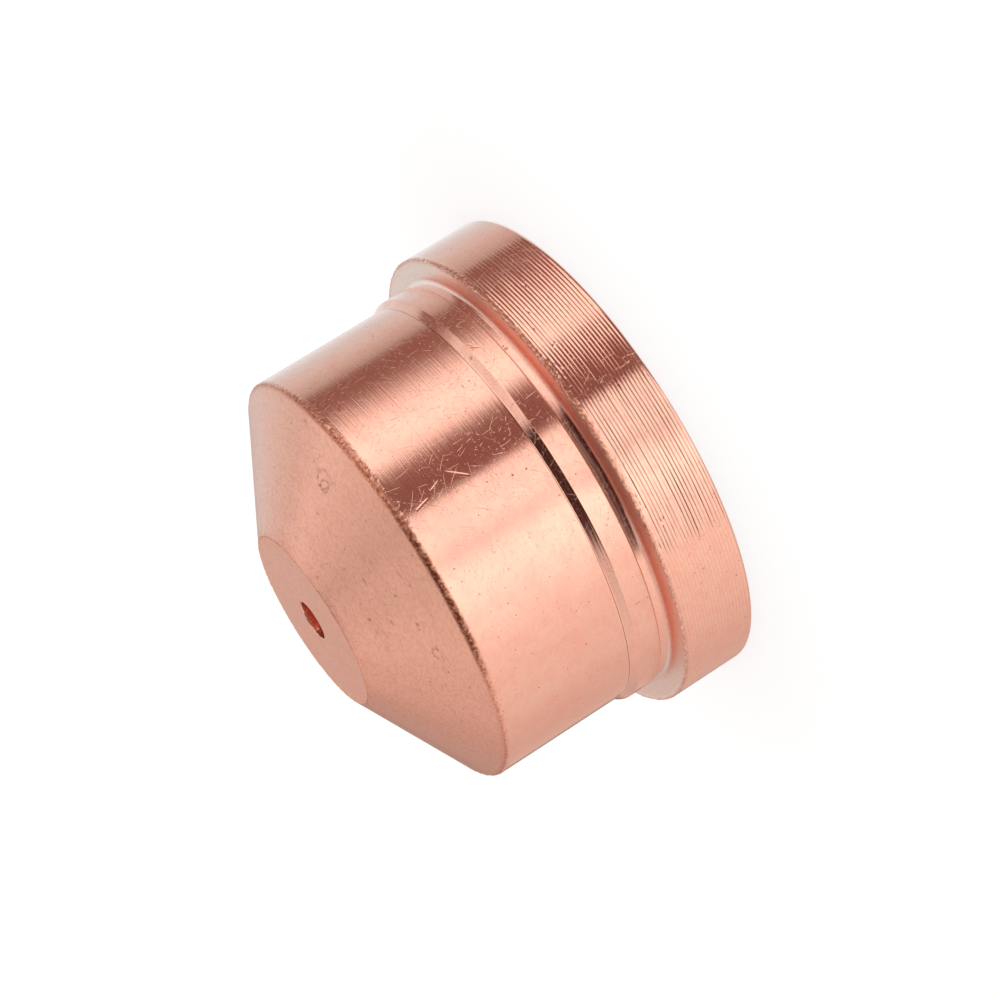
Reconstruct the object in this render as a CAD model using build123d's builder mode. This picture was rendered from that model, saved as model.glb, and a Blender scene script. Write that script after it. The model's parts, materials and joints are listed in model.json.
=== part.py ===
"""Plasma torch nozzle: one piece turned from copper bar.

Millimetres. Z is the turning axis, the nose points up, and the rear face
lies on the plane Z = 0. Every radius is half of a diameter named below, and
every height is stacked up from the rear face.
"""
from build123d import *
from math import radians, tan
import os

# Outside diameters, from the rear flange to the flat tip.
flange_diameter = 22.0
relief_diameter = 19.3
land_diameter = 19.9
body_diameter = 19.4
tip_diameter = 8.25

# Outside lengths, in the order that they stack up from the rear face.
flange_thickness = 3.45
relief_width = 0.52
land_width = 1.09
land_chamfer = 0.31
body_length = 6.32
nose_height = 3.15

# Broken edges and the tool radius left in the corner behind the land.
rim_rear_break = 0.15
rim_front_break = 0.05
relief_corner_radius = 0.32

# Seat for the swirl ring, bored from the rear.
seat_diameter = 16.0
seat_depth = 3.6
seat_lead_in = 0.4

# Arc chamber in front of the seat, its conical end and the orifice.
chamber_diameter = 12.4
chamber_cone_angle = 120.0
throat_diameter = 3.2
throat_cone_angle = 90.0
orifice_diameter = 1.8
orifice_length = 2.8
orifice_edge_break = 0.05

flange_radius = flange_diameter / 2
relief_radius = relief_diameter / 2
land_radius = land_diameter / 2
body_radius = body_diameter / 2
tip_radius = tip_diameter / 2
seat_radius = seat_diameter / 2
chamber_radius = chamber_diameter / 2
throat_radius = throat_diameter / 2
orifice_radius = orifice_diameter / 2

# Heights above the rear face.
relief_end = flange_thickness + relief_width
land_end = relief_end + land_width
body_start = land_end + land_chamfer
shoulder = body_start + body_length
tip = shoulder + nose_height

# Heights of the bore, measured back from the tip because the orifice length
# sets the jet.
orifice_entry = tip - orifice_length
throat_start = orifice_entry - (throat_radius - orifice_radius) / tan(radians(throat_cone_angle / 2))
chamber_end = throat_start - (chamber_radius - throat_radius) / tan(radians(chamber_cone_angle / 2))

with BuildPart() as nozzle:
    # Outside: rim, flange face, relief groove, land, body, cone and flat tip.
    with BuildSketch(Plane.XZ) as outside_section:
        with BuildLine():
            Polyline(
                (0, 0),
                (flange_radius - rim_rear_break, 0),
                (flange_radius, rim_rear_break),
                (flange_radius, flange_thickness - rim_front_break),
                (flange_radius - rim_front_break, flange_thickness),
                (relief_radius + relief_corner_radius, flange_thickness),
            )
            RadiusArc(
                (relief_radius + relief_corner_radius, flange_thickness),
                (relief_radius, flange_thickness + relief_corner_radius),
                relief_corner_radius,
            )
            Polyline(
                (relief_radius, flange_thickness + relief_corner_radius),
                (relief_radius, relief_end),
                (land_radius, relief_end),
                (land_radius, land_end),
                (body_radius, body_start),
                (body_radius, shoulder),
                (tip_radius, tip),
                (0, tip),
                (0, 0),
            )
        make_face()
    revolve(axis=Axis.Z)

    # Inside: lead-in, ring seat, arc chamber, throat and orifice, with the
    # orifice's edge broken at the tip.
    with BuildSketch(Plane.XZ) as bore_section:
        with BuildLine():
            Polyline(
                (0, 0),
                (seat_radius + seat_lead_in, 0),
                (seat_radius, seat_lead_in),
                (seat_radius, seat_depth),
                (chamber_radius, seat_depth),
                (chamber_radius, chamber_end),
                (throat_radius, throat_start),
                (orifice_radius, orifice_entry),
                (orifice_radius, tip - orifice_edge_break),
                (orifice_radius + orifice_edge_break, tip),
                (0, tip),
                (0, 0),
            )
        make_face()
    revolve(axis=Axis.Z, mode=Mode.SUBTRACT)

nozzle.part.label = "nozzle"
os.makedirs("parts", exist_ok=True)
export_step(nozzle.part, "parts/nozzle.step")
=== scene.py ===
import bmesh
import bpy
import json
import numpy as np
from math import atan2, cos, floor, hypot, pi, radians, sin, tan
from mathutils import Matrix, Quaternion, Vector


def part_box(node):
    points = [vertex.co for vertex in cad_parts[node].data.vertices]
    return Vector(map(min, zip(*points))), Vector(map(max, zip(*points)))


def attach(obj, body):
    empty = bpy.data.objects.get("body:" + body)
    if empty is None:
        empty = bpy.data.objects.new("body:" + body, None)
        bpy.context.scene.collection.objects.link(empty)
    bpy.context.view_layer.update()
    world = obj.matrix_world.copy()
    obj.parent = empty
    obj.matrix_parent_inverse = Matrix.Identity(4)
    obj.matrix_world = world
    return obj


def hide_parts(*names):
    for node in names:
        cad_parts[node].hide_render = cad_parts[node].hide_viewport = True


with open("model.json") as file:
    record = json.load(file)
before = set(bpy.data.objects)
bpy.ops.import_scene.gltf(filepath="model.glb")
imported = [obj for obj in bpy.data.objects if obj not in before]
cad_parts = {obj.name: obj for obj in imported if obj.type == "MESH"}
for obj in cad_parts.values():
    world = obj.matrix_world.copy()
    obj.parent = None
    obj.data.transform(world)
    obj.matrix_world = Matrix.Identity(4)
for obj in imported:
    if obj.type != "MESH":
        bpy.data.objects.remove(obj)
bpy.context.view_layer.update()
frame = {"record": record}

# Camera. A long lens looks down by about 16 degrees at the nozzle, which stands on its rear face.
# The camera is turned about its own axis until the nose points to the lower left of the picture.
MM = 0.001
camera_place = Vector((0.0, -129.2, 41.15)) * MM
camera_aim = Vector((0.12, 0.0, 5.09)) * MM
camera_roll = radians(-122.0)

camera_data = bpy.data.cameras.new("camera")
camera_data.lens = 112.5
camera_data.sensor_width = 36.0
camera_data.clip_start = 0.005
camera_data.clip_end = 10.0
camera = bpy.data.objects.new("camera", camera_data)
camera.location = camera_place
camera.rotation_mode = "QUATERNION"
level = (camera_aim - camera_place).to_track_quat("-Z", "Y")
camera.rotation_quaternion = level @ Quaternion((0, 0, 1), camera_roll)
bpy.context.scene.collection.objects.link(camera)
bpy.context.scene.camera = camera
bpy.context.scene.view_settings.view_transform = "Standard"


# Studio. A white tent stands all round the nozzle. Two dark gaps between its panels, and the dark
# hood that the lens looks out of, are what bare copper shows as sharp brown bands.
def node(tree, kind, inputs=None, **settings):
    """A node with its settings made and its inputs filled by value or wired from a socket."""
    made = tree.nodes.new(kind)
    for key, value in settings.items():
        setattr(made, key, value)
    for key, value in (inputs or {}).items():
        if isinstance(value, bpy.types.NodeSocket):
            tree.links.new(value, made.inputs[key])
        else:
            made.inputs[key].default_value = value
    return made


def maths(tree, operation, *values):
    return node(tree, "ShaderNodeMath", dict(enumerate(values)), operation=operation).outputs[0]


def total(tree, operation, first, *rest):
    """One operation over a row of values, such as their sum or their product."""
    for value in rest:
        first = maths(tree, operation, first, value)
    return first


def fade(tree, value, start, end):
    """Runs smoothly from 0 at start to 1 at end, which may be the lower of the two."""
    spread = {"Value": value, "From Min": start, "From Max": end}
    return node(tree, "ShaderNodeMapRange", spread, interpolation_type="SMOOTHSTEP").outputs["Result"]


def blend(tree, amount, first, second):
    """Mixes two colours, each a socket or an (r, g, b) triple."""
    made = node(tree, "ShaderNodeMix", data_type="RGBA")
    for at, value in ((0, amount), (6, first), (7, second)):
        if isinstance(value, tuple):
            value = (*value, 1.0)
        if isinstance(value, bpy.types.NodeSocket):
            tree.links.new(value, made.inputs[at])
        else:
            made.inputs[at].default_value = value
    return made.outputs[2]


def ring_of_light(tree, azimuth, panels):
    """Light by compass direction. Panels are (degrees to the right of the camera, light, warmth)."""
    turn = maths(tree, "MULTIPLY_ADD", azimuth, 1 / 360, 0.5)
    ramp = node(tree, "ShaderNodeValToRGB", {0: turn})
    stops = ramp.color_ramp.elements
    for number, (angle, light, warmth) in enumerate(panels):
        place = angle / 360 + 0.5
        if number == 0:
            stop = stops[0]
        elif number == len(panels) - 1:
            stop = stops[-1]
        else:
            stop = stops.new(place)
        stop.position = place
        red, blue = light * (1 + 0.1 * warmth), light * (1 - 0.04 * warmth)
        stop.color = (red / 2, light / 2, blue / 2, 1.0)
    return ramp.outputs["Color"]


# the panels of the tent, ring above ring
low_walls = [
    (-180, 0.40, 3), (-170, 0.14, 4), (-160, 0.56, 3.5), (-150, 0.57, 2.7), (-140, 0.61, 2),
    (-130, 0.65, 1.7), (-119, 0.71, 1.2), (-100, 0.86, 0.5), (-80, 0.90, 0.7), (-59, 1.05, 0.3),
    (-50, 1.22, 0), (-40, 1.36, 0), (-29, 1.58, 0), (-20, 1.62, 0), (-10, 1.11, 0), (0, 1.43, 0),
    (10, 1.32, 0), (50, 1.31, 0), (59, 1.50, 0), (70, 1.36, 0), (90, 1.15, 0), (110, 0.48, 0),
    (119, 0.66, 0), (130, 0.82, -0.8), (140, 0.87, -1.4), (150, 0.90, -1.5), (160, 0.98, -1.2),
    (170, 0.93, -0.4), (180, 0.40, 3),
]
high_walls = [
    (-180, 0.61, 0), (-175, 0.42, 4), (-168, 0.42, 2.4), (-160, 0.48, 1.4), (-150, 0.56, 1.2),
    (-120, 0.78, 1), (-80, 1.0, 0.7), (-58, 1.12, 0.4), (-20, 1.4, 0), (20, 1.4, 0), (40, 1.38, 0),
    (58, 1.42, 0), (70, 1.28, 0), (100, 0.95, 0), (112, 0.64, 0), (124, 0.76, -0.5), (150, 1.0, -1.3),
    (160, 0.92, -1.3), (168, 0.86, -1.3), (175, 0.72, -0.6), (180, 0.61, 0),
]
roof = [
    (-180, 0.88, 0), (-145, 0.75, 0.5), (-90, 0.78, 0.3), (-50, 0.74, 0), (0, 0.74, 0), (40, 1.02, 0),
    (85, 1.0, 0), (112, 1.0, 0), (133, 1.06, -0.6), (150, 1.20, -0.8), (165, 1.0, -0.6), (180, 0.88, 0),
]
zenith = [
    (-180, 1.24, 0), (-145, 1.14, 0), (-90, 1.04, 0), (-50, 0.90, 0), (0, 0.90, 0), (60, 0.96, 0),
    (100, 0.78, 0), (145, 0.56, 0), (170, 1.1, 0), (180, 1.24, 0),
]
# each ring above the low walls, and the heights in degrees over which it takes over
rings_above = ((high_walls, -6.0, 8.0), (roof, 24.0, 42.0), (zenith, 50.0, 66.0))

world = bpy.data.worlds.new("studio")
bpy.context.scene.world = world
world.use_nodes = True
sky = world.node_tree
sky.nodes.clear()
direction = node(sky, "ShaderNodeTexCoord").outputs["Generated"]
to_side, to_back, to_top = node(sky, "ShaderNodeSeparateXYZ", {0: direction}).outputs
degrees_per_radian = 180 / pi
to_front = maths(sky, "MULTIPLY", to_back, -1.0)
azimuth = maths(sky, "MULTIPLY", maths(sky, "ARCTAN2", to_side, to_front), degrees_per_radian)
height = maths(sky, "MULTIPLY", maths(sky, "ARCSINE", to_top), degrees_per_radian)

tent = ring_of_light(sky, azimuth, low_walls)
for panels, start, end in rings_above:
    tent = blend(sky, fade(sky, height, start, end), tent, ring_of_light(sky, azimuth, panels))


def fade_past(edge, start, end):
    """Fades with the azimuth, from start to end in degrees past an edge that leans with the height."""
    return fade(sky, azimuth, maths(sky, "ADD", edge, start), maths(sky, "ADD", edge, end))


# the near gap, which narrows as it rises
near_gap_end = maths(sky, "MULTIPLY_ADD", height, -0.50, 36.4)
near_gap = total(
    sky, "MULTIPLY",
    fade(sky, azimuth, 17.0, 18.2),
    fade_past(near_gap_end, 4.5, -4.5),
    fade(sky, height, 22.0, 14.0),
)
# the far gap, which opens towards the lens from 7 to 18 degrees up, and again below the horizon
far_gap_start = total(
    sky, "ADD",
    maths(sky, "MULTIPLY_ADD", maths(sky, "MINIMUM", height, 0.0), 0.8, 91.0),
    maths(sky, "MULTIPLY", fade(sky, height, 1.0, 7.0), -17.0),
    maths(sky, "MULTIPLY", fade(sky, height, 18.0, 28.0), 28.0),
)
height_up_to_roof = maths(sky, "MINIMUM", maths(sky, "MAXIMUM", height, 0.0), 25.0)
far_gap_end = maths(sky, "MULTIPLY_ADD", height_up_to_roof, 0.70, 109.5)
far_gap = total(
    sky, "MULTIPLY",
    fade_past(far_gap_start, -9.0, 13.0),
    fade_past(far_gap_end, 2.0, -1.0),
    fade(sky, height, 44.0, 38.0),
)
# the hood round the lens, which widens as it rises
hood_end = maths(sky, "MULTIPLY_ADD", height, 0.4, 12.0)
hood = total(
    sky, "MULTIPLY",
    fade(sky, azimuth, -64.0, -54.0),
    fade_past(hood_end, 4.0, -1.0),
    fade(sky, height, 7.0, 12.0),
    fade(sky, height, 82.0, 74.0),
)
near_brown = (0.138, 0.074, 0.068)
far_brown = (0.150, 0.087, 0.080)
hood_black = (0.02, 0.005, 0.004)
for amount, colour in ((near_gap, near_brown), (far_gap, far_brown), (hood, hood_black)):
    tent = blend(sky, amount, tent, colour)

# the panels' light is halved in their ramps, which end at 1, and doubled again here
reflected = node(sky, "ShaderNodeBackground", {"Color": tent, "Strength": 2.0})
plain = node(sky, "ShaderNodeBackground", {"Color": (1, 1, 1, 1), "Strength": 1.0})
glossy = node(sky, "ShaderNodeLightPath").outputs["Is Glossy Ray"]
seen = node(sky, "ShaderNodeMixShader", {0: glossy, 1: plain.outputs[0], 2: reflected.outputs[0]})
node(sky, "ShaderNodeOutputWorld", {"Surface": seen.outputs[0]})

# Floor. A wide white sheet, bright enough to print as white, that keeps the nozzle's soft shadow.
floor_half = 3.0
paper_grey = 0.35
paper_glow = 0.69
floor_mesh = bpy.data.meshes.new("floor")
floor_corners = [(x * floor_half, y * floor_half, 0) for x, y in ((-1, -1), (1, -1), (1, 1), (-1, 1))]
floor_mesh.from_pydata(floor_corners, [], [(0, 1, 2, 3)])
floor_sheet = bpy.data.objects.new("floor", floor_mesh)
bpy.context.scene.collection.objects.link(floor_sheet)
floor_sheet.visible_glossy = False
paper = bpy.data.materials.new("white_paper")
paper.use_nodes = True
sheet = paper.node_tree
sheet.nodes.clear()
matt = node(sheet, "ShaderNodeBsdfDiffuse", {"Color": (paper_grey, paper_grey, paper_grey, 1)})
glow = node(sheet, "ShaderNodeEmission", {"Color": (1, 1, 1, 1), "Strength": paper_glow})
lit = node(sheet, "ShaderNodeAddShader", {0: matt.outputs[0], 1: glow.outputs[0]})
sight = node(sheet, "ShaderNodeLightPath").outputs["Is Camera Ray"]
both = node(sheet, "ShaderNodeMixShader", {0: sight, 1: matt.outputs[0], 2: lit.outputs[0]})
node(sheet, "ShaderNodeOutputMaterial", {"Surface": both.outputs[0]})
floor_mesh.materials.append(paper)

# Nozzle. One piece turned from copper bar: flange, relief, land, body, cone and flat tip outside,
# and the ring seat, arc chamber, throat and orifice bored from the rear and drilled from the tip.
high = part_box("nozzle")[1]
mounts = {mount["name"]: mount["dims"].get("r_mm") for mount in frame["record"]["mounts"]}
flange_r = high.x / MM
tip_z = high.z / MM
body_r = mounts["body_diameter"]
seat_r = mounts["ring_seat"]
orifice_r = mounts["orifice"]
tip_r = 4.125
land_r = 9.95
relief_r = 9.65
relief_foot_r = 9.82
flange_z = 3.45
land_low_z = 3.97
land_high_z = 5.06
body_low_z = 5.37
shoulder_z = 11.69
relief_round = 0.32
seat_depth = 3.6
chamber_r = 6.2
chamber_z = 8.734
throat_r = 1.6
throat_z = 11.34
orifice_z = 12.04

# columns of the mesh round the axis, most where an edge has a burr
burr_columns = 768
tip_columns = 512
wall_columns = 256
bore_columns = 128

# The section is a closed loop of corners: radius, height, rounding, steps of the rounding,
# columns, and how far the burr of that edge reaches.
corners = {
    "rim_foot": (flange_r, 0.0, 0.14, 4, wall_columns, 0.0),
    "rim_edge": (flange_r, flange_z, 0.07, 4, burr_columns, 0.20),
    "relief_corner": (relief_foot_r, flange_z, relief_round, 8, wall_columns, 0.0),
    "land_step": (relief_r, land_low_z, 0.03, 2, wall_columns, 0.0),
    "land_rear": (land_r, land_low_z, 0.05, 4, wall_columns, 0.0),
    "land_front": (land_r, land_high_z, 0.05, 4, wall_columns, 0.0),
    "body_root": (body_r, body_low_z, 0.05, 4, wall_columns, 0.0),
    "shoulder": (body_r, shoulder_z, 0.28, 7, burr_columns, 0.24),
    "tip_edge": (tip_r, tip_z, 0.06, 4, tip_columns, 0.06),
    "orifice_mouth": (orifice_r, tip_z, 0.05, 4, bore_columns, 0.0),
    "orifice_foot": (orifice_r, orifice_z, 0.05, 2, bore_columns, 0.0),
    "throat_mouth": (throat_r, throat_z, 0.10, 3, bore_columns, 0.0),
    "chamber_front": (chamber_r, chamber_z, 0.30, 4, bore_columns, 0.0),
    "chamber_mouth": (chamber_r, seat_depth, 0.10, 3, bore_columns, 0.0),
    "seat_foot": (seat_r, seat_depth, 0.10, 3, bore_columns, 0.0),
    "seat_mouth": (seat_r, 0.0, 0.40, 3, bore_columns, 0.0),
}
# How far the tool moves along the rim in one turn, and how far apart the rows of the mesh are. The
# hem is the distance from a rounded corner to the first row.
feed = 0.16
row_height = {"rim_foot": feed / 4}
plain_row = 0.4
bore_row = 1.0
burr_row = 0.04
hem = 0.02


def softened(name, before, after):
    """The points of one rounded corner, from the side of the corner before to the one after."""
    radius, height, rounding, steps = corners[name][:4]
    here = Vector((radius, height))
    to_before = (Vector(corners[before][:2]) - here).normalized()
    to_after = (Vector(corners[after][:2]) - here).normalized()
    half = to_before.angle(to_after) / 2
    centre = here + (to_before + to_after).normalized() * (rounding / sin(half))
    start = here + to_before * (rounding / tan(half)) - centre
    end = here + to_after * (rounding / tan(half)) - centre
    first = atan2(start.y, start.x)
    sweep = (atan2(end.y, end.x) - first + pi) % (2 * pi) - pi
    angles = [first + sweep * step / steps for step in range(steps + 1)]
    return [(centre.x + rounding * cos(angle), centre.y + rounding * sin(angle)) for angle in angles]


def run_rows(length, row, burr_before, burr_after):
    """Distances of the rows along a straight run, closer together where an edge is burred."""
    near = [hem + burr_row * k for k in range(floor(burr_before / burr_row) + 1)]
    far = [length - hem - burr_row * k for k in range(floor(burr_after / burr_row), -1, -1)]
    count = max(1, round((far[0] - near[-1]) / row))
    middle = [near[-1] + (far[0] - near[-1]) * k / count for k in range(1, count)]
    return near, middle, far


corner_names = list(corners)
next_names = corner_names[1:] + corner_names[:1]
turned = [softened(name, corner_names[i - 1], next_names[i]) for i, name in enumerate(corner_names)]
rings = []
corner_at = {}
run_start = {}
along = 0.0
for i, name in enumerate(corner_names):
    columns, burr = corners[name][4:]
    points = turned[i]
    next_points = turned[(i + 1) % len(turned)]
    next_columns, next_burr = corners[next_names[i]][4:]
    for k, (r, z) in enumerate(points):
        if k:
            along += hypot(r - points[k - 1][0], z - points[k - 1][1])
        rings.append((r, z, along, columns, name))
    corner_at[name] = along - sum(hypot(b[0] - a[0], b[1] - a[1]) for a, b in zip(points, points[1:])) / 2
    run_start[name] = along
    (r0, z0), (r1, z1) = points[-1], next_points[0]
    length = hypot(r1 - r0, z1 - z0)
    bored = i > corner_names.index("tip_edge")
    row = row_height.get(name, bore_row if bored else plain_row)
    near, middle, far = run_rows(length, row, burr, next_burr)
    fewest = min(wall_columns if columns >= wall_columns else bore_columns, next_columns)
    for rows, count in ((near, columns), (middle, fewest), (far, next_columns)):
        for distance in rows:
            share = distance / length
            rings.append((r0 + (r1 - r0) * share, z0 + (z1 - z0) * share, along + distance, count, name))
    along += length
wall_length = along
rings.append((*rings[0][:2], wall_length, *rings[0][3:]))

# The wall is first laid out flat, with the turn round the axis as X and the way along the
# section as Y, and closer meshed round each mark.
points, faces, first_of = [], [], []
for r, z, at, columns, name in rings:
    first_of.append(len(points))
    points += [(2 * pi * c / columns - pi, at, 0.0) for c in range(columns + 1)]
for i in range(len(rings) - 1):
    low_count, high_count = rings[i][3], rings[i + 1][3]
    cells = min(low_count, high_count)
    low_step, high_step = low_count // cells, high_count // cells
    for c in range(cells):
        lower = [first_of[i] + c * low_step + k for k in range(low_step + 1)]
        upper = [first_of[i + 1] + c * high_step + k for k in range(high_step + 1)]
        faces.append(lower + upper[::-1])
wall = bpy.data.meshes.new("flat_wall")
wall.from_pydata(points, [], faces)

ring_along = np.array([ring[2] for ring in rings])
ring_radius = np.array([ring[0] for ring in rings])
ring_height = np.array([ring[1] for ring in rings])
outside = ring_along <= corner_at["tip_edge"] + 0.2


def along_at(z):
    """The way along the section at a height on the outside."""
    return float(np.interp(z, ring_height[outside], ring_along[outside]))


# Marks of use, at their turn from the camera's side in degrees and their height: pits, scratches
# from one place to another, and the rings that a punch or a hard stop has left. The last number is
# the mark's half width, or the ring's radius.
pits = [
    (-10.2, 12.52, 0.05), (-7.0, 12.95, 0.06), (-6.0, 12.43, 0.05), (-17.7, 12.80, 0.08),
    (-15.5, 13.42, 0.06), (-12.0, 13.95, 0.07), (23.0, 12.53, 0.06), (32.5, 13.44, 0.06),
    (17.5, 14.60, 0.08), (49.0, 11.95, 0.08),
    (3.75, 6.19, 0.05), (-5.7, 5.60, 0.06), (-15.7, 10.46, 0.05), (-27.7, 10.55, 0.04), (-9.0, 10.55, 0.03),
    (-20.5, 8.65, 0.03), (-10.5, 7.54, 0.04), (29.7, 6.24, 0.04), (4.2, 6.80, 0.05), (27.0, 7.40, 0.03),
    (-16.5, 4.36, 0.05), (-15.3, 4.24, 0.03), (31.0, 4.90, 0.04), (30.5, 4.55, 0.03), (-40.0, 4.55, 0.05),
    (28.3, 2.80, 0.05), (3.5, 2.10, 0.04), (-33.0, 1.24, 0.04), (-37.0, 1.80, 0.05),
    (32.5, 3.80, 0.10), (34.8, 5.22, 0.08),
]
scratches = [
    (9.5, 8.30, 13.6, 9.09, 0.035), (13.4, 9.10, 15.4, 9.26, 0.03), (11.0, 9.99, 12.3, 9.43, 0.03),
    (8.6, 11.10, 9.9, 10.24, 0.03), (12.6, 11.50, 12.9, 10.95, 0.03), (43.0, 10.76, 45.4, 10.55, 0.035),
    (39.3, 11.10, 41.6, 11.11, 0.02), (47.2, 9.40, 51.0, 10.40, 0.02), (49.0, 8.92, 52.6, 8.50, 0.03),
    (-14.2, 6.43, -9.0, 6.44, 0.025), (33.0, 6.55, 35.7, 6.12, 0.025), (-4.8, 12.52, 0.2, 12.53, 0.03),
    (0.5, 13.49, 4.0, 13.50, 0.03), (3.0, 13.20, 5.2, 13.19, 0.03), (-19.0, 13.93, -16.0, 13.95, 0.03),
    (30.3, 12.52, 31.8, 12.60, 0.03), (-22.8, 2.78, -20.5, 2.58, 0.035), (-17.3, 3.38, -16.6, 2.98, 0.03),
    (32.0, 2.40, 33.5, 2.52, 0.04), (38.5, 1.90, 40.0, 1.72, 0.035), (22.2, 2.75, 23.0, 2.50, 0.03),
    (36.0, 4.98, 38.2, 4.72, 0.03), (37.2, 4.99, 35.6, 4.62, 0.025), (38.4, 4.92, 36.8, 4.86, 0.025),
]
rings_of_punch = [(34.0, 12.80, 0.26), (35.4, 12.70, 0.40), (-28.4, 12.65, 0.24)]
gouges = [(20.8, 3.38, 17.4, 2.96, 0.055), (18.2, 3.36, 15.2, 3.12, 0.045)]
chip_turn = radians(-152)
chip_size = 0.12
# the mesh's cells at a mark, and how far a mark and its lip reach, in times its size
mark_cell = 0.036
reach_of = {"pit": 2.2, "scratch": 2.2, "ring": 1.3}


def radius_at(at):
    """The radius at a way along the section."""
    return float(np.interp(at, ring_along, ring_radius))


marks = []
for turn, z, size in pits:
    marks.append(("pit", radians(turn), along_at(z), radians(turn), along_at(z), size))
for turn, z, turn_to, z_to, size in scratches + gouges:
    marks.append(("scratch", radians(turn), along_at(z), radians(turn_to), along_at(z_to), size))
for turn, z, size in rings_of_punch:
    marks.append(("ring", radians(turn), along_at(z), radians(turn), along_at(z), size))
chipped_mouth = corner_at["orifice_mouth"] + 0.08
marks.append(("pit", chip_turn, chipped_mouth, chip_turn, chipped_mouth, chip_size))

flat = bmesh.new()
flat.from_mesh(wall)


def cells_near_marks():
    """The faces of the flat wall that a mark touches."""
    spans = []
    for f in flat.faces:
        turns, ways = zip(*(v.co.xy for v in f.verts))
        spans.append((min(turns), max(turns), min(ways), max(ways)))
    turn_from, turn_end, at_from, at_end = np.array(spans).T
    near = np.zeros(len(spans), bool)
    for kind, turn, at, turn_to, at_to, size in marks:
        margin = size * reach_of[kind]
        sideways = margin / radius_at(at)
        near |= (
            (turn_from < max(turn, turn_to) + sideways) & (turn_end > min(turn, turn_to) - sideways)
            & (at_from < max(at, at_to) + margin) & (at_end > min(at, at_to) - margin)
        )
    flat.faces.ensure_lookup_table()
    return [flat.faces[int(k)] for k in np.flatnonzero(near)]


# the cells near a mark are cut round the axis and then along it, until they are fine enough
for axis in (0, 1):
    by_cuts = {}
    for face in cells_near_marks():
        for edge in face.edges:
            step = edge.verts[1].co - edge.verts[0].co
            if abs(step[1 - axis]) > abs(step[axis]) * 0.01:
                continue
            size = abs(step[axis]) * (radius_at(edge.verts[0].co.y) if axis == 0 else 1.0)
            cuts = round(size / mark_cell) - 1
            if cuts > 0:
                by_cuts.setdefault(cuts, set()).add(edge)
    for cuts in sorted(by_cuts):
        chosen = sorted((edge for edge in by_cuts[cuts] if edge.is_valid), key=lambda edge: edge.index)
        bmesh.ops.subdivide_edges(flat, edges=chosen, cuts=cuts, use_grid_fill=True)

# the ridges between two feed marks stay sharp
feed_start = run_start["rim_foot"] + hem
rim_run = flange_z - corners["rim_foot"][2] - corners["rim_edge"][2]
feed_end = feed_start + feed * round((rim_run - 2 * hem) / feed)
for edge in flat.edges:
    first, last = (v.co.y for v in edge.verts)
    turns_of_work = (first - feed_start) / feed
    on_ridge = abs(first - last) < 1e-5 and abs(turns_of_work - round(turns_of_work)) < 0.01
    edge.smooth = not (on_ridge and feed_start - 0.01 < first < feed_end + 0.01)
flat.to_mesh(wall)
flat.free()

count = len(wall.vertices)
place = np.zeros(count * 3)
wall.vertices.foreach_get("co", place)
turn_of, at_of = place.reshape(-1, 3)[:, 0], place.reshape(-1, 3)[:, 1]


def bell(away, width, middle=0.0):
    return np.exp(-((away - middle) / width) ** 2)


# depth of the marks, with the lip that each has thrown up, and the brown that has settled in them
relief = np.zeros(count)
stain = np.zeros(count)
lip_height = 0.12
scratch_depth = 0.42
pit_depth = 0.5
deepest_pit = 0.03
ring_width = 0.05
ring_depth = 0.02
for kind, turn, at, turn_to, at_to, size in marks:
    radius = radius_at(at)
    aside, up = (turn_of - turn) * radius, at_of - at
    run = Vector(((turn_to - turn) * radius, at_to - at))
    if kind == "scratch":
        share = np.clip((aside * run.x + up * run.y) / run.length_squared, 0, 1)
        away = np.hypot(aside - share * run.x, up - share * run.y) / size
        fine = np.sin(pi * np.clip(share, 0.02, 0.98)) ** 0.5
        relief += size * fine * (lip_height * bell(away, 0.5, 1.5) - scratch_depth * bell(away, 0.8))
        on_cone = at > corner_at["shoulder"]
        stain = np.maximum(stain, (0.5 if on_cone else 0.1) * fine * bell(away, 0.9))
    elif kind == "pit":
        away = np.hypot(aside, up) / size
        deep = min(size, deepest_pit)
        relief += deep * (lip_height * bell(away, 0.4, 1.3) - pit_depth * bell(away, 0.8))
        if at < corner_at["tip_edge"]:
            stain = np.maximum(stain, 0.7 * bell(away, 0.9))
    else:
        away = (np.hypot(aside, up) - size) / ring_width
        bearing = np.arctan2(up, aside)
        broken = 0.6 + 0.4 * np.sin(bearing - 2.5) * np.sin(7 * bearing + 5 * size)
        relief -= ring_depth * broken * bell(away, 1.0)
        stain = np.maximum(stain, 0.8 * broken * bell(away, 1.0))


def near_turn(middle, half, blur):
    """1 within half degrees of a turn round the axis, and 0 well past it."""
    return 1 / (1 + np.exp((np.abs(np.degrees(turn_of) - middle) - half) / blur))


# The burrs are worst where the nozzle has been knocked, in the middle of the side that the camera
# sees. There soot has stayed in the shoulder's burr.
knocked_at = {"rim_edge": 22, "shoulder": 10}
edge_burr = np.zeros(count)
for name, values in corners.items():
    burr = values[5]
    if burr:
        reach = np.clip(1 - np.abs(at_of - corner_at[name]) / (burr + 0.05), 0, 1)
        strength = 0.5
        if name in knocked_at:
            strength = 0.5 + 0.5 * near_turn(knocked_at[name], 40, 4)
        edge_burr = np.maximum(edge_burr, reach * strength)
        if name == "shoulder":
            sooty = near_turn(-11, 20, 2.5)
            stain = np.maximum(stain, 0.95 * sooty * np.clip(reach * 2.0 - 0.6, 0, 1))

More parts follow.
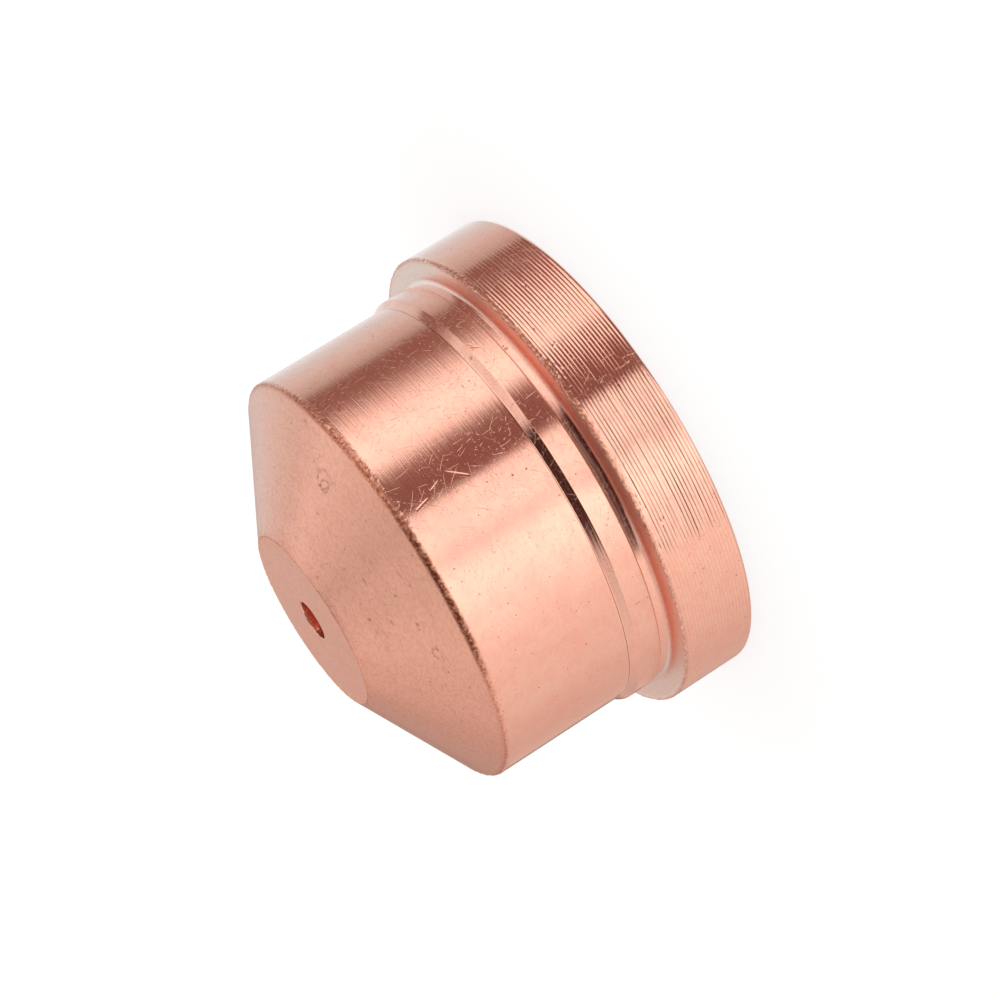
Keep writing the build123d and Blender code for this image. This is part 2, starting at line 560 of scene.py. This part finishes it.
# what the tool has left on each face: roughness, satin or bright, faced or turned along its length
rough_of, satin, faced = np.full(count, 0.24), np.zeros(count), np.zeros(count)
for first, last, values in (
    ("rim_foot", "rim_edge", (0.10, 0, 0)), ("rim_edge", "relief_corner", (0.36, 0, 1)),
    ("relief_corner", "land_step", (0.18, 0, 0)), ("land_step", "shoulder", (0.17, 0, 0)),
    ("shoulder", "tip_edge", (0.37, 1, 0)), ("tip_edge", "orifice_mouth", (0.40, 1, 1)),
):
    there = (at_of > corner_at[first]) & (at_of <= corner_at[last])
    rough_of[there], satin[there], faced[there] = values
for name, values in (
    ("relief", relief), ("burr", edge_burr), ("stain", stain), ("along", at_of),
    ("roughness", rough_of), ("satin", satin), ("faced", faced),
):
    wall.attributes.new(name, "FLOAT", "POINT").data.foreach_set("value", values.astype(np.float32))

# the unrolled wall in millimetres, true to scale about halfway up the cone and on the body
cone_scale_r = 7.0
body_scale_r = 9.7
unrolled = wall.uv_layers.new(name="unrolled")
corner_vertex = np.zeros(len(wall.loops), np.int32)
wall.loops.foreach_get("vertex_index", corner_vertex)
round_r = np.where(satin > 0, cone_scale_r, body_scale_r)
uv = np.stack([(turn_of * round_r)[corner_vertex], at_of[corner_vertex]], -1)
unrolled.data.foreach_set("uv", uv.astype(np.float32).ravel())

# the section as a curve, for the turning tree to read
section_curve = bpy.data.curves.new("section", "CURVE")
section_curve.dimensions = "3D"
outline = section_curve.splines.new("POLY")
outline.points.add(len(rings) - 2)
for point, (r, z, *rest) in zip(outline.points, rings):
    point.co = (r, 0.0, z, 1.0)
outline.use_cyclic_u = True
section = bpy.data.objects.new("section", section_curve)
bpy.context.scene.collection.objects.link(section)

# The turning tree wraps the flat wall round the axis, cuts the feed marks of a coarse finishing
# pass into the rim, raises the burrs and presses the marks in.
turning = bpy.data.node_groups.new("turned_wall", "GeometryNodeTree")
turning_inputs = {}
for name, kind in (
    ("Wall", "Geometry"), ("Section", "Object"), ("Feed", "Float"), ("Feed Depth", "Float"),
    ("Feed Start", "Float"), ("Feed End", "Float"), ("Rubbed From", "Float"), ("Rubbed To", "Float"),
    ("Rubbed Depth", "Float"), ("Burr Height", "Float"), ("Burr Size", "Float"),
    ("Largest Radius", "Float"), ("Full Height", "Float"), ("Seed", "Int"), ("Copper", "Material"),
):
    made = turning.interface.new_socket(name=name, in_out="INPUT", socket_type="NodeSocket" + kind)
    turning_inputs[name] = made.identifier
turning.interface.new_socket(name="Nozzle", in_out="OUTPUT", socket_type="NodeSocketGeometry")
given = turning.nodes.new("NodeGroupInput").outputs


def joined(tree, x, y, z):
    return node(tree, "ShaderNodeCombineXYZ", {0: x, 1: y, 2: z}).outputs[0]


def vector_maths(tree, operation, first, second):
    return node(tree, "ShaderNodeVectorMath", {0: first, 1: second}, operation=operation).outputs[0]


def attribute(tree, name):
    stored = node(tree, "GeometryNodeInputNamedAttribute", {"Name": name}, data_type="FLOAT")
    return stored.outputs["Attribute"]


flat_place = node(turning, "GeometryNodeInputPosition").outputs[0]
turn, way = node(turning, "ShaderNodeSeparateXYZ", {0: flat_place}).outputs[:2]
section_shape = node(turning, "GeometryNodeObjectInfo", {"Object": given["Section"]}).outputs["Geometry"]
sampled = node(turning, "GeometryNodeSampleCurve", {"Curves": section_shape, "Length": way}, mode="LENGTH")
wall_r, _, wall_z = node(turning, "ShaderNodeSeparateXYZ", {0: sampled.outputs["Position"]}).outputs
lean_r, _, lean_z = node(turning, "ShaderNodeSeparateXYZ", {0: sampled.outputs["Tangent"]}).outputs
out_z = maths(turning, "MULTIPLY", lean_r, -1.0)
sine, cosine = maths(turning, "SINE", turn), maths(turning, "COSINE", turn)
back = maths(turning, "MULTIPLY", cosine, -1.0)
smooth_place = joined(
    turning, maths(turning, "MULTIPLY", wall_r, sine), maths(turning, "MULTIPLY", wall_r, back), wall_z
)

# feed marks: one round-nosed groove for each turn of the work, no two quite as deep
phase = maths(turning, "DIVIDE", maths(turning, "SUBTRACT", way, given["Feed Start"]), given["Feed"])
across = maths(turning, "SUBTRACT", maths(turning, "FRACT", phase), 0.5)
hollow = maths(turning, "MULTIPLY_ADD", maths(turning, "MULTIPLY", across, across), -4.0, 1.0)
groove = maths(turning, "ADD", maths(turning, "FLOOR", phase), given["Seed"])
luck = node(turning, "ShaderNodeTexWhiteNoise", {"W": groove}, noise_dimensions="1D").outputs["Value"]
uneven = maths(turning, "MULTIPLY_ADD", luck, 0.2, 0.9)
round_groove = maths(turning, "MULTIPLY", turn, 18.0)
groove_place = joined(turning, round_groove, maths(turning, "MULTIPLY", groove, 5.0), 0.0)
wavering = {"Vector": groove_place, "Scale": 1.0, "Detail": 1.0}
chatter = node(turning, "ShaderNodeTexNoise", wavering).outputs[0]
uneven = maths(turning, "MULTIPLY", uneven, maths(turning, "MULTIPLY_ADD", chatter, 0.6, 0.7))
in_band = maths(
    turning, "MULTIPLY",
    maths(turning, "GREATER_THAN", way, given["Feed Start"]),
    maths(turning, "LESS_THAN", way, given["Feed End"]),
)
# where the rim has been rubbed, its grooves are shallower
rubbed_sum = maths(turning, "ADD", given["Rubbed From"], given["Rubbed To"])
rubbed_middle = maths(turning, "MULTIPLY", rubbed_sum, 0.5)
from_rubbed = maths(turning, "ABSOLUTE", maths(turning, "SUBTRACT", turn, rubbed_middle))
rubbed_half = maths(turning, "SUBTRACT", given["Rubbed To"], rubbed_middle)
rubbed = fade(turning, from_rubbed, rubbed_half, maths(turning, "MULTIPLY", rubbed_half, 0.8))
kept = maths(turning, "SUBTRACT", 1.0, maths(turning, "MULTIPLY", rubbed, given["Rubbed Depth"]))
cut = total(turning, "MULTIPLY", hollow, uneven, in_band, kept, given["Feed Depth"], -1.0)

# burrs: torn metal on the sharp edges, in patches
shift = joined(turning, given["Seed"], 0.0, 0.0)
seeded = vector_maths(turning, "ADD", smooth_place, shift)
crumbs = {"Vector": seeded, "Scale": given["Burr Size"], "Detail": 3.0, "Roughness": 0.6}
torn = node(turning, "ShaderNodeTexNoise", crumbs)
patch = node(turning, "ShaderNodeTexNoise", {"Vector": seeded, "Scale": 0.55, "Detail": 1.0})
rough = maths(turning, "MULTIPLY_ADD", torn.outputs[0], 2.0, -1.0)
strength = maths(turning, "MULTIPLY_ADD", fade(turning, patch.outputs[0], 0.35, 0.6), 0.3, 0.7)
raised = total(turning, "MULTIPLY", rough, strength, attribute(turning, "burr"), given["Burr Height"])

moved = total(turning, "ADD", cut, raised, attribute(turning, "relief"))
new_r = maths(turning, "MULTIPLY_ADD", lean_z, moved, wall_r)
new_r = maths(turning, "MINIMUM", new_r, given["Largest Radius"])
new_z = maths(turning, "MULTIPLY_ADD", out_z, moved, wall_z)
new_z = maths(turning, "MAXIMUM", maths(turning, "MINIMUM", new_z, given["Full Height"]), 0.0)
new_x, new_y = maths(turning, "MULTIPLY", new_r, sine), maths(turning, "MULTIPLY", new_r, back)
wrapped = joined(turning, new_x, new_y, new_z)
placed = node(turning, "GeometryNodeSetPosition", {"Geometry": given["Wall"], "Position": wrapped})
welded = node(turning, "GeometryNodeMergeByDistance", {"Geometry": placed.outputs[0], "Distance": 0.001})
metres = node(turning, "GeometryNodeTransform", {"Geometry": welded.outputs[0], "Scale": (MM, MM, MM)})
smooth = node(turning, "GeometryNodeSetShadeSmooth", {"Geometry": metres.outputs[0]})
whole = node(turning, "GeometryNodeRealizeInstances", {"Geometry": smooth.outputs[0]}).outputs[0]
finished = node(turning, "GeometryNodeSetMaterial", {"Geometry": whole, "Material": given["Copper"]})
node(turning, "NodeGroupOutput", {0: finished.outputs[0]})

# Copper as the tool leaves it: bright and streaked round the axis on the body and rim, satin on
# the cone and tip, paler on the flange face, with brown in the low places and hair scratches.
# Thin dark lines of painted shade also lie in the corner at the body's root and along the land's rear edge.
copper = bpy.data.materials.new("turned_copper")
copper.use_nodes = True
skin = copper.node_tree
skin.nodes.clear()


def shader_attribute(name):
    return node(skin, "ShaderNodeAttribute", attribute_name=name, attribute_type="GEOMETRY").outputs["Fac"]


satin_amount = shader_attribute("satin")
faced_amount = shader_attribute("faced")
pale_amount = maths(skin, "MULTIPLY", faced_amount, maths(skin, "SUBTRACT", 1.0, satin_amount))
burr_amount = shader_attribute("burr")
stain_amount = shader_attribute("stain")
along_mm = shader_attribute("along")
object_place = node(skin, "ShaderNodeTexCoord").outputs["Object"]
place_x, place_y = node(skin, "ShaderNodeSeparateXYZ", {0: object_place}).outputs[:2]
per_mm = 1 / MM


def streaks(round_scale, along_scale, detail):
    """Noise drawn out round the axis. Scales are features per millimetre, round and along."""
    at = joined(
        skin, maths(skin, "MULTIPLY", place_x, round_scale * per_mm),
        maths(skin, "MULTIPLY", place_y, round_scale * per_mm),
        maths(skin, "MULTIPLY", along_mm, along_scale),
    )
    return node(skin, "ShaderNodeTexNoise", {"Vector": at, "Scale": 1.0, "Detail": detail}).outputs[0]


fine_lines = streaks(0.25, 15.0, 3.0)
broad_lines = streaks(0.12, 3.0, 2.0)
mottle = streaks(5.0, 8.0, 4.0)
flecks = streaks(2.2, 4.5, 2.0)
clouds = streaks(0.3, 0.4, 3.0)
blotches = streaks(1.1, 1.5, 3.0)
patches = streaks(0.35, 0.35, 1.0)
torn_grain = streaks(7.0, 7.0, 3.0)

# the unrolled wall, bent a little so that the scratches on it are not all straight
uv_place = node(skin, "ShaderNodeUVMap", uv_map="unrolled").outputs[0]
wander = node(skin, "ShaderNodeTexNoise", {"Vector": uv_place, "Scale": 0.7, "Detail": 0.0})
bend = vector_maths(skin, "MULTIPLY", wander.outputs["Color"], (0.5, 0.5, 0.0))
bent_place = vector_maths(skin, "ADD", uv_place, bend)


def cells_of(place, cells):
    """Cells per millimetre of the unrolled wall: offset and distance from each cell's middle, and
    three chances of its own."""
    scaled = vector_maths(skin, "MULTIPLY", place, (cells, cells, cells))
    cell = node(skin, "ShaderNodeTexVoronoi", {"Vector": scaled, "Scale": 1.0}, voronoi_dimensions="2D")
    offset = vector_maths(skin, "SUBTRACT", scaled, cell.outputs["Position"])
    chances = node(skin, "ShaderNodeSeparateColor", {0: cell.outputs["Color"]}).outputs
    return offset, cell.outputs["Distance"], chances


def hair_scratches(cells, length, width, share):
    """Short scratches, one at most in each cell, each at its own angle and of its own length.
    Length and width are taken from a scratch's middle, in millimetres."""
    offset, _, (chance, spin, reach) = cells_of(bent_place, cells)
    off_x, off_y, _ = node(skin, "ShaderNodeSeparateXYZ", {0: offset}).outputs
    angle = maths(skin, "MULTIPLY", spin, pi)
    c, s = maths(skin, "COSINE", angle), maths(skin, "SINE", angle)
    forward = maths(skin, "ADD", maths(skin, "MULTIPLY", off_x, c), maths(skin, "MULTIPLY", off_y, s))
    sideways = maths(skin, "SUBTRACT", maths(skin, "MULTIPLY", off_y, c), maths(skin, "MULTIPLY", off_x, s))
    end = maths(skin, "MULTIPLY_ADD", reach, length * cells * 0.8, length * cells * 0.2)
    return total(
        skin, "MULTIPLY",
        fade(skin, maths(skin, "ABSOLUTE", sideways), width * cells, 0.0),
        fade(skin, maths(skin, "ABSOLUTE", forward), end, maths(skin, "MULTIPLY", end, 0.3)),
        maths(skin, "LESS_THAN", chance, share),
    )


def specks(cells, radius, share):
    """Small round pits, one at most in each cell, of uneven size."""
    _, distance, (chance, size, _) = cells_of(uv_place, cells)
    reach = maths(skin, "MULTIPLY_ADD", size, radius * cells, radius * cells * 0.3)
    spot = fade(skin, distance, reach, maths(skin, "MULTIPLY", reach, 0.5))
    return maths(skin, "MULTIPLY", spot, maths(skin, "LESS_THAN", chance, share))


scuffs = total(
    skin, "MAXIMUM",
    hair_scratches(0.9, 0.42, 0.014, 0.4),
    hair_scratches(2.1, 0.2, 0.011, 0.6),
    hair_scratches(4.0, 0.1, 0.010, 0.5),
)
scuffs = maths(skin, "MULTIPLY", scuffs, fade(skin, patches, 0.34, 0.48))
long_scuffs = maths(
    skin, "MAXIMUM", hair_scratches(1.1, 0.75, 0.008, 0.8), hair_scratches(1.7, 0.6, 0.007, 0.8)
)
pores = maths(skin, "MAXIMUM", specks(1.6, 0.035, 0.22), specks(3.1, 0.02, 0.3))

# height of the fine detail, in parts of the bump's height
height_sum = total(
    skin, "ADD",
    maths(skin, "MULTIPLY", fine_lines, maths(skin, "MULTIPLY_ADD", satin_amount, -0.7, 1.3)),
    maths(skin, "MULTIPLY", maths(skin, "MULTIPLY", mottle, satin_amount), 1.2),
    maths(skin, "MULTIPLY", scuffs, -0.5),
    maths(skin, "MULTIPLY", long_scuffs, -0.3),
    maths(skin, "MULTIPLY", pores, -0.8),
    maths(skin, "MULTIPLY", maths(skin, "MULTIPLY", torn_grain, burr_amount), 10.0),
)
micron = 1e-6
bump_height = 6 * micron
bump = node(skin, "ShaderNodeBump", {"Strength": 1.0, "Distance": bump_height, "Height": height_sum})


def painted_shade_line(at, half_width):
    """A thin dark line of painted shade round the nozzle, at a way along the section."""
    away = maths(skin, "ABSOLUTE", maths(skin, "SUBTRACT", along_mm, at))
    return fade(skin, away, half_width, half_width * 0.3)


bright_copper = (0.93, 0.51, 0.38)
warm_copper = (0.90, 0.455, 0.325)
pink_copper = (0.93, 0.46, 0.35)
pale_copper = (0.98, 0.77, 0.68)
heated_copper = (0.97, 0.40, 0.27)
torn_copper = (0.62, 0.22, 0.12)
# this brown is used for real dirt in the marks and for the painted shade lines in the corners
dirt_and_shade_brown = (0.22, 0.055, 0.025)
sand_brown = (0.74, 0.34, 0.22)
base = blend(skin, satin_amount, bright_copper, warm_copper)
base = blend(skin, maths(skin, "MULTIPLY", fade(skin, clouds, 0.42, 0.62), 0.45), base, pink_copper)
base = blend(skin, maths(skin, "MULTIPLY", fade(skin, blotches, 0.46, 0.62), 0.7), base, pink_copper)
base = blend(skin, pale_amount, base, pale_copper)
heated = maths(
    skin, "MULTIPLY",
    fade(skin, along_mm, corner_at["orifice_mouth"], corner_at["orifice_mouth"] + 0.08),
    fade(skin, along_mm, corner_at["chamber_front"], corner_at["chamber_front"] - 1.0),
)
base = blend(skin, heated, base, heated_copper)
sandy = maths(skin, "MULTIPLY", fade(skin, mottle, 0.42, 0.62), 0.42)
sandy = maths(skin, "MAXIMUM", sandy, maths(skin, "MULTIPLY", fade(skin, flecks, 0.57, 0.68), 0.5))
sandy = maths(skin, "MULTIPLY", sandy, maths(skin, "MULTIPLY_ADD", satin_amount, 0.7, 0.3))
base = blend(skin, sandy, base, sand_brown)
torn = maths(skin, "MULTIPLY", fade(skin, burr_amount, 0.15, 0.6), fade(skin, torn_grain, 0.7, 0.35))
base = blend(skin, torn, base, torn_copper)
# painted shade: thin dark lines in the corner at the body's root and along the land's rear edge
root_painted_shade = painted_shade_line(corner_at["body_root"] + 0.05, 0.022)
land_painted_shade = painted_shade_line(corner_at["land_rear"], 0.04)
painted_shade_lines = maths(skin, "MULTIPLY", maths(skin, "MAXIMUM", root_painted_shade, land_painted_shade), 0.8)
ragged = maths(skin, "MULTIPLY_ADD", fade(skin, torn_grain, 0.62, 0.4), 0.5, 0.5)
ragged = maths(skin, "MULTIPLY", ragged, stain_amount)
rubbed_in = total(skin, "MULTIPLY", long_scuffs, satin_amount, fade(skin, patches, 0.38, 0.52), 0.6)
# the brown is real dirt in the pits, rings and scratches, and painted shade in the two corner lines
dirt_and_painted_shade = total(skin, "MAXIMUM", ragged, maths(skin, "MULTIPLY", pores, 0.7), painted_shade_lines, rubbed_in)
base = blend(skin, dirt_and_painted_shade, base, dirt_and_shade_brown)

burr_roughness = 0.35
streaked = 0.85
gloss = total(
    skin, "ADD", shader_attribute("roughness"), maths(skin, "MULTIPLY_ADD", broad_lines, 0.08, -0.04),
    maths(skin, "MULTIPLY", burr_amount, burr_roughness),
)

round_axis = node(skin, "ShaderNodeTangent", direction_type="RADIAL", axis="Z")
metal = node(skin, "ShaderNodeBsdfPrincipled", {
    "Base Color": base,
    "Metallic": 1.0,
    "Roughness": gloss,
    "Anisotropic": maths(skin, "MULTIPLY_ADD", faced_amount, -streaked, streaked),
    "Anisotropic Rotation": 0.25,
    "Tangent": round_axis.outputs[0],
    "Normal": bump.outputs[0],
})
node(skin, "ShaderNodeOutputMaterial", {"Surface": metal.outputs[0]})

blank = bpy.data.objects.new("blank", wall)
bpy.context.scene.collection.objects.link(blank)
turn_it = blank.modifiers.new("turning", "NODES")
turn_it.node_group = turning
settings = {
    "Section": section,
    "Feed": feed,
    "Feed Depth": 0.0175,
    "Feed Start": feed_start,
    "Feed End": feed_end,
    "Rubbed From": radians(46),
    "Rubbed To": radians(130),
    "Rubbed Depth": 0.85,
    "Burr Height": 0.13,
    "Burr Size": 6.0,
    "Largest Radius": flange_r,
    "Full Height": tip_z,
    "Seed": 7,
    "Copper": copper,
}
for name, value in settings.items():
    turn_it[turning_inputs[name]] = value
wrapped_blank = blank.evaluated_get(bpy.context.evaluated_depsgraph_get())
nozzle_mesh = bpy.data.meshes.new_from_object(wrapped_blank)
nozzle_mesh.name = "nozzle_body"
nozzle = bpy.data.objects.new("nozzle_body", nozzle_mesh)
bpy.context.scene.collection.objects.link(nozzle)
bpy.data.objects.remove(blank)
bpy.data.objects.remove(section)

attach(nozzle, "root")
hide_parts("nozzle")
